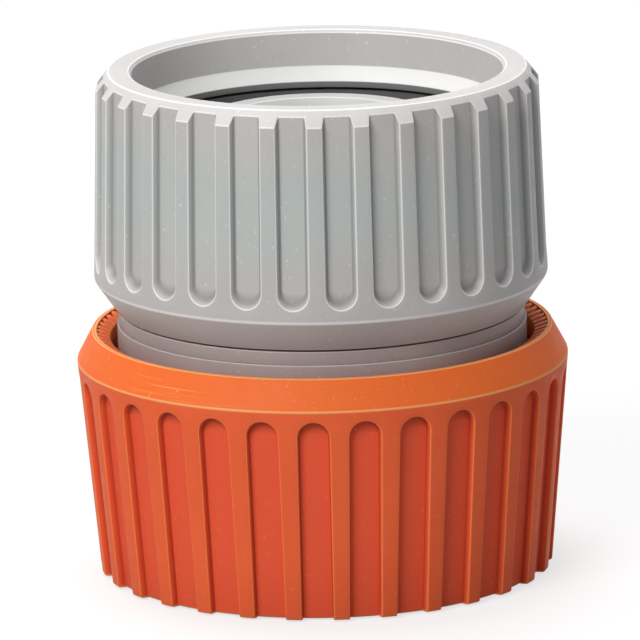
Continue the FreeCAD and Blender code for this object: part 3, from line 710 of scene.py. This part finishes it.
def window_cutter():
    """Four boxes that reach through the socket's wall at the claws."""
    skin = Skin()
    low_r, high_r = WINDOW_RADII
    half = WINDOW_HALF_WIDTH
    for azimuth in CLAW_AZIMUTHS:
        turn = Matrix.Rotation(math.radians(azimuth), 3, "Z")
        first = len(skin.points)
        for z in WINDOW_HEIGHTS:
            for r, y in ((low_r, -half), (high_r, -half), (high_r, half), (low_r, half)):
                skin.add_point(turn @ Vector((r, y, z)))
        for face in ((0, 1, 2, 3), (4, 5, 6, 7), (0, 1, 5, 4), (1, 2, 6, 5), (2, 3, 7, 6), (3, 0, 4, 7)):
            skin.faces.append(tuple(first + i for i in face))
    return skin.build("window_cutter")


def socket_piece():
    """Socket with the four claw windows cut through its wall."""
    socket = turned_piece("socket_shell", SOCKET, columns=PLAIN_COLUMNS)
    cutter = window_cutter()
    cut = socket.modifiers.new("windows", "BOOLEAN")
    cut.operation = "DIFFERENCE"
    cut.solver = "EXACT"
    cut.object = cutter
    graph = bpy.context.evaluated_depsgraph_get()
    mesh = bpy.data.meshes.new_from_object(socket.evaluated_get(graph))
    socket.modifiers.clear()
    socket.data = mesh
    smooth(mesh)
    bpy.data.objects.remove(cutter)
    return socket


# Materials

# Noise scales, in waves for each metre, and how dark dirt and the painted shade in corners are
MOTTLE_SCALE = 110.0
TINT_SCALE = 70.0
STREAK_SCALE = (60.0, 60.0, 4200.0)
PATCH_SCALE = 45.0
DIRT_SHADE = 0.45
PAINTED_SHADE_TONE = 0.2
GRAIN_DEPTH = 0.06 * MM

# The nut's faint cool tint across its middle, a painted reflection, the deeper orange of the sleeve's flutes,
# and the yellower orange above its widest line, with fine lines there painted pale as a highlight on real
# marks
NUT_REFLECTION_TINT = {"tint": (0.51, 0.60, 0.58), "share": 0.6, "rise": (25.5, 30.0), "fall": (38.0, 33.5)}
SLEEVE_FLOOR = {"tint": (0.90, 0.112, 0.050), "share": 0.8}
SLEEVE_SHOULDER = {"upper": (0.92, 0.168, 0.032), "upper_pale": (1.0, 0.50, 0.19), "heights": (16.5, 16.75),
                   "streak_sheen_share": 0.55, "seed": 3.0}


class NodeTree:
    """Nodes of a material or of the world, with one short call for each kind that repeats."""

    def __init__(self, owner):
        owner.use_nodes = True
        self.nodes = owner.node_tree.nodes
        self.links = owner.node_tree.links

    def fill(self, node, values=(), joins=()):
        """Gives a node's inputs constant values and joined sockets, by name or number."""
        for key, value in dict(values).items():
            node.inputs[key].default_value = value
        for key, socket in dict(joins).items():
            self.links.new(socket, node.inputs[key])

    def add(self, kind, values=(), joins=(), **settings):
        node = self.nodes.new(kind)
        for name, setting in settings.items():
            setattr(node, name, setting)
        self.fill(node, values, joins)
        return node

    def chosen(self, plain, seen):
        """Shader seen for what the camera sees directly, mirrored or through glass; plain for other light."""
        path = self.add("ShaderNodeLightPath")
        share = path.outputs["Is Camera Ray"]
        for kind in ("Is Glossy Ray", "Is Transmission Ray"):
            either = self.add("ShaderNodeMath", {}, {0: share, 1: path.outputs[kind]}, operation="ADD",
                              use_clamp=True)
            share = either.outputs["Value"]
        return self.add("ShaderNodeMixShader", {}, {0: share, 1: plain, 2: seen}).outputs["Shader"]


class Surface(NodeTree):
    """A material's nodes, with its shader and textures laid out in the object's own coordinates."""

    def __init__(self, name):
        self.material = bpy.data.materials.new(name)
        super().__init__(self.material)
        self.shader = self.nodes["Principled BSDF"]
        self.coordinates = self.add("ShaderNodeTexCoord").outputs["Object"]

    def noise(self, scale, detail=3.0, roughness=0.5, seed=0.0, coordinates=None):
        values = {"W": seed, "Scale": scale, "Detail": detail, "Roughness": roughness}
        joins = {"Vector": coordinates or self.coordinates}
        return self.add("ShaderNodeTexNoise", values, joins, noise_dimensions="4D").outputs["Fac"]

    def ramp(self, factor, low, high, low_value=0.0, high_value=1.0):
        """Factor stretched from low..high to low_value..high_value."""
        values = {"From Min": low, "From Max": high, "To Min": low_value, "To Max": high_value}
        return self.add("ShaderNodeMapRange", values, {"Value": factor}).outputs["Result"]

    def mixed(self, factor, a, b):
        """Colour between a and b; either is a colour or a socket."""
        ends = {"A": a, "B": b}
        values = {key: (*end, 1.0) for key, end in ends.items() if isinstance(end, tuple)}
        joins = {key: end for key, end in ends.items() if not isinstance(end, tuple)}
        mix = self.add("ShaderNodeMix", values, {"Factor": factor, **joins}, data_type="RGBA")
        return mix.outputs["Result"]

    def product(self, a, b):
        return self.add("ShaderNodeMath", {}, {0: a, 1: b}, operation="MULTIPLY").outputs["Value"]

    def weight(self, name):
        return self.add("ShaderNodeAttribute", attribute_name=name).outputs["Fac"]

    def stretched(self, scales):
        """Coordinates scaled apart, so that a noise on them runs round the piece in fine lines."""
        mapping = self.add("ShaderNodeMapping", {"Scale": scales}, {"Vector": self.coordinates})
        return mapping.outputs["Vector"]

    def height_band(self, low, high):
        """0 below the height low and 1 above high, in millimetres; falls instead where low is above high."""
        height = self.add("ShaderNodeSeparateXYZ", {}, {"Vector": self.coordinates}).outputs["Z"]
        if low > high:
            return self.ramp(height, high * MM, low * MM, 1.0, 0.0)
        return self.ramp(height, low * MM, high * MM)


def shaded(colour, share):
    return tuple(share * c for c in colour)


def reflection_tinted(surface, colour, tint, share, rise, fall):
    """Patchy tint, a painted reflection, that comes in between the heights of rise and goes out again between
    those of fall.
    """
    band = surface.product(surface.height_band(*rise), surface.height_band(*fall))
    patches = surface.ramp(surface.noise(TINT_SCALE), 0.35, 0.6, share * 0.4, share)
    return surface.mixed(surface.product(band, patches), colour, tint)


def floored(surface, colour, tint, share):
    """Colour with a tint on the flutes' floors."""
    return surface.mixed(surface.ramp(surface.weight("flute"), 0.0, 1.0, 0.0, share), colour, tint)


def shouldered(surface, colour, pale, upper, upper_pale, heights, streak_sheen_share, seed):
    """Colour and pale colour that change between two heights, with patches of fine lines above them: real
    lines, painted pale as a highlight.
    """
    above = surface.height_band(*heights)
    colour = surface.mixed(above, colour, upper)
    pale = surface.mixed(above, pale, upper_pale)
    around = surface.stretched(STREAK_SCALE)
    streak_sheen = surface.ramp(surface.noise(1.0, coordinates=around), 0.53, 0.66, 0.0, streak_sheen_share)
    patches = surface.ramp(surface.noise(PATCH_SCALE, 1.0, seed=seed), 0.5, 0.6)
    streak_sheen = surface.product(above, surface.product(streak_sheen, patches))
    return surface.mixed(streak_sheen, colour, pale), pale


def weathered_with_painted_light(surface, colour, base, pale, grain, edge_share):
    """Colour with dirt and pale specks over it, edges painted pale as wear and painted highlight, and painted
    shade in the corners.
    """
    dirt = surface.ramp(surface.noise(grain * 0.7, 4.0, 0.7), 0.36, 0.27, 0.0, 0.35)
    colour = surface.mixed(dirt, colour, shaded(base, DIRT_SHADE))
    specks = surface.ramp(surface.noise(grain, 4.0, 0.7), 0.61, 0.72, 0.0, 0.7)
    colour = surface.mixed(specks, colour, pale)
    wear_and_highlight = surface.ramp(surface.weight("edge"), 0.1, 0.9, 0.0, edge_share)
    colour = surface.mixed(wear_and_highlight, colour, pale)
    # Painted shade where the edge weight is negative
    painted_shade = surface.ramp(surface.weight("edge"), -0.9, -0.1, 0.8, 0.0)
    return surface.mixed(painted_shade, colour, shaded(base, PAINTED_SHADE_TONE))


def moulded_plastic(name, base, mottle, pale, grain, roughness, edge_share, bump=0.12, gloss=0.4,
                    tint=None, floor=None, shoulder=None):
    """Moulded plastic, mottled between base and mottle, with a grained skin.

    pale is the colour of specks and of edges painted pale as wear and painted highlight, grain the specks'
    scale and edge_share how strongly edges are painted pale.
    tint, floor and shoulder hold what reflection_tinted, floored and shouldered take, where the piece has
    them.
    """
    surface = Surface(name)
    colour = surface.mixed(surface.ramp(surface.noise(MOTTLE_SCALE), 0.35, 0.65), base, mottle)
    if tint:
        colour = reflection_tinted(surface, colour, **tint)
    if floor:
        colour = floored(surface, colour, **floor)
    if shoulder:
        colour, pale = shouldered(surface, colour, pale, **shoulder)
    colour = weathered_with_painted_light(surface, colour, base, pale, grain, edge_share)
    rough = surface.ramp(surface.noise(grain * 0.5), 0.3, 0.7, roughness - 0.07, roughness + 0.08)
    relief = surface.add("ShaderNodeBump", {"Strength": bump, "Distance": GRAIN_DEPTH},
                         {"Height": surface.noise(grain * 0.8, 3.0, 0.6)})
    surface.fill(surface.shader, {"Specular IOR Level": gloss},
                 {"Base Color": colour, "Roughness": rough, "Normal": relief.outputs["Normal"]})
    return surface.material


def drawn_steel(name):
    surface = Surface(name)
    drawn = surface.ramp(surface.noise(1500.0), 0.3, 0.7)
    colour = surface.mixed(drawn, (0.52, 0.52, 0.50), (0.66, 0.66, 0.64))
    rough = surface.ramp(drawn, 0.0, 1.0, 0.25, 0.4)
    surface.fill(surface.shader, {"Metallic": 1.0}, {"Base Color": colour, "Roughness": rough})
    return surface.material


nut_plastic = moulded_plastic("nut_plastic", (0.59, 0.57, 0.56), (0.545, 0.525, 0.52), (0.93, 0.93, 0.92),
                              grain=2600.0, roughness=0.46, edge_share=0.9, bump=0.22, tint=NUT_REFLECTION_TINT)
neck_plastic = moulded_plastic("neck_plastic", (0.41, 0.36, 0.35), (0.37, 0.32, 0.315), (0.66, 0.62, 0.61),
                               grain=2600.0, roughness=0.48, edge_share=0.6)
# The stem takes a darker grey than the nut's: painted shade for where it sits deep in the nut's mouth
stem_plastic = moulded_plastic("stem_plastic", (0.48, 0.48, 0.475), (0.44, 0.44, 0.435), (0.80, 0.80, 0.79),
                               grain=2600.0, roughness=0.46, edge_share=0.6)
sleeve_plastic = moulded_plastic("sleeve_plastic", (0.98, 0.155, 0.05), (0.93, 0.137, 0.046),
                                 (1.0, 0.3, 0.09), grain=2400.0, roughness=0.55, edge_share=0.9, gloss=0.2,
                                 floor=SLEEVE_FLOOR, shoulder=SLEEVE_SHOULDER)
ring_plastic = moulded_plastic("ring_plastic", (0.86, 0.150, 0.030), (0.76, 0.12, 0.022), (1.0, 0.40, 0.12),
                               grain=2400.0, roughness=0.48, edge_share=0.7, gloss=0.3)
collet_plastic = moulded_plastic("collet_plastic", (0.115, 0.12, 0.12), (0.10, 0.105, 0.105), (0.3, 0.3, 0.3),
                                 grain=2400.0, roughness=0.5, edge_share=0.3)
claw_plastic = moulded_plastic("claw_plastic", (0.72, 0.71, 0.67), (0.68, 0.67, 0.63), (0.85, 0.85, 0.82),
                               grain=2000.0, roughness=0.35, edge_share=0.3)
seal_rubber = moulded_plastic("seal_rubber", (0.02, 0.02, 0.02), (0.015, 0.015, 0.015), (0.05, 0.05, 0.05),
                              grain=2000.0, roughness=0.55, edge_share=0.2)
spring_steel = drawn_steel("spring_steel")


# Pieces on their bodies


def dress(piece, material):
    piece.data.materials.clear()
    piece.data.materials.append(material)


def put(piece, body, material, slot, *nodes):
    """Dresses a piece and puts it on its body, in the place of the nodes that are named."""
    dress(piece, material)
    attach(piece, body)
    if nodes:
        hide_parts(*nodes)


def soften(piece):
    """Rounds the edges of a solid that is kept as it is."""
    bevel = piece.modifiers.new("soft_edges", "BEVEL")
    bevel.width = EDGE_ROUND * MM
    bevel.segments = 2
    bevel.limit_method = "ANGLE"


put(nut_skin(), "nut", nut_plastic, "nut_plastic", "hose_nut")
nut_thread = thread_piece("nut_thread", NUT_BORE_R, THREAD_NUT_CREST_R, THREAD_START_Z + THREAD_PITCH / 2)
put(nut_thread, "nut", nut_plastic, "nut_plastic")
put(sleeve_skin(), "sleeve", sleeve_plastic, "sleeve_plastic", "sleeve_shell")
put(ring_skin(), "sleeve", ring_plastic, "ring_plastic", "guide_ring")

put(stem_piece(), "body", stem_plastic, "stem_plastic", "hose_stem")
put(turned_piece("collar_shell", COLLAR), "body", neck_plastic, "body_plastic", "thread_collar")
collar_thread = thread_piece("collar_thread", THREAD_CORE_R, THREAD_CREST_R, THREAD_START_Z)
put(collar_thread, "body", neck_plastic, "body_plastic")
put(socket_piece(), "body", neck_plastic, "body_plastic", "socket_body")
front_collar = turned_piece("front_collar", FRONT_RING, FINE_ROUND, PLAIN_COLUMNS)
put(front_collar, "body", neck_plastic, "body_plastic", "front_ring")
put(seal_piece(), "body", seal_rubber, "seal_rubber", "body_seal")

spring = spring_piece()
put(spring, "body", spring_steel, "spring_steel", "return_spring")
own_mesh(spring)

for name in CLAW_NODES:
    dress(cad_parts[name], claw_plastic)
    soften(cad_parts[name])
dress(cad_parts["grip_collet"], collet_plastic)


# Camera, lamps, backdrop and floor, with their places in metres

CAMERA_TARGET = Vector((-0.155, 0.0, 19.31)) * MM
CAMERA_DISTANCE = 0.6
CAMERA_ELEVATION = math.radians(13.53)
CAMERA_ROLL = math.radians(1.15)
CAMERA_LENS = 436.3
LAMP_TARGET = Vector((0, 0, 0.02))
WHITE = (1.0, 1.0, 1.0, 1.0)
SKY_COLOUR = (0.96, 0.975, 1.0, 1.0)
SKY_STRENGTH = 0.28
PAPER_TONES = ((0.29, 0.29, 0.29), (0.31, 0.31, 0.31))
PAPER_GLOW = 0.70
FLOOR_SIZE = 6
FLOOR_Z = -0.05 * MM


def studio_camera():
    """Camera fitted to the photograph, with a slight roll."""
    back = Vector((0, -math.cos(CAMERA_ELEVATION), math.sin(CAMERA_ELEVATION)))
    lens = bpy.data.cameras.new("camera")
    lens.lens = CAMERA_LENS
    lens.clip_start = 0.05
    lens.clip_end = 20
    camera = bpy.data.objects.new("camera", lens)
    bpy.context.scene.collection.objects.link(camera)
    camera.location = CAMERA_TARGET + back * CAMERA_DISTANCE
    aim = (-back).to_track_quat("-Z", "Y").to_matrix()
    camera.rotation_euler = (aim @ Matrix.Rotation(-CAMERA_ROLL, 3, "Z")).to_euler()
    bpy.context.scene.camera = camera


def area_light(name, place, energy, size, colour):
    data = bpy.data.lights.new(name, "AREA")
    data.energy = energy
    data.size = size
    data.color = colour
    light = bpy.data.objects.new(name, data)
    light.location = place
    light.rotation_euler = (LAMP_TARGET - Vector(place)).to_track_quat("-Z", "Y").to_euler()
    bpy.context.scene.collection.objects.link(light)


def studio_world():
    """Plain light from all round, in front of a backdrop that is seen as white."""
    world = bpy.data.worlds.new("studio")
    air = NodeTree(world)
    sky = air.nodes["Background"]
    air.fill(sky, {"Color": SKY_COLOUR, "Strength": SKY_STRENGTH})
    backdrop = air.add("ShaderNodeBackground", {"Color": WHITE, "Strength": 1.0})
    air.fill(air.nodes["World Output"], {},
             {"Surface": air.chosen(sky.outputs["Background"], backdrop.outputs["Background"])})
    bpy.context.scene.world = world


def studio_floor():
    """Grey paper that is seen as white, where the object's shadow still shows."""
    bpy.ops.mesh.primitive_plane_add(size=FLOOR_SIZE)
    floor = bpy.context.active_object
    floor.name = "studio_floor"
    floor.location.z = FLOOR_Z
    paper = Surface("studio_paper")
    tone = paper.mixed(paper.noise(8.0), *PAPER_TONES)
    paper.fill(paper.shader, {"Roughness": 0.9, "Specular IOR Level": 0.1}, {"Base Color": tone})
    lit = paper.add("ShaderNodeBsdfDiffuse", {}, {"Color": tone})
    glow = paper.add("ShaderNodeEmission", {"Strength": PAPER_GLOW})
    white = paper.add("ShaderNodeAddShader", {}, {0: lit.outputs["BSDF"], 1: glow.outputs["Emission"]})
    paper.fill(paper.nodes["Material Output"], {},
               {"Surface": paper.chosen(paper.shader.outputs["BSDF"], white.outputs["Shader"])})
    dress(floor, paper.material)


studio_camera()
area_light("key", (-0.263, -0.405, 0.40), energy=2.35, size=0.30, colour=(1.0, 0.985, 0.965))
area_light("top", (-0.05, 0.12, 0.55), energy=2.0, size=0.25, colour=(1.0, 1.0, 1.0))
studio_world()
studio_floor()

bpy.context.scene.view_settings.view_transform = "Standard"
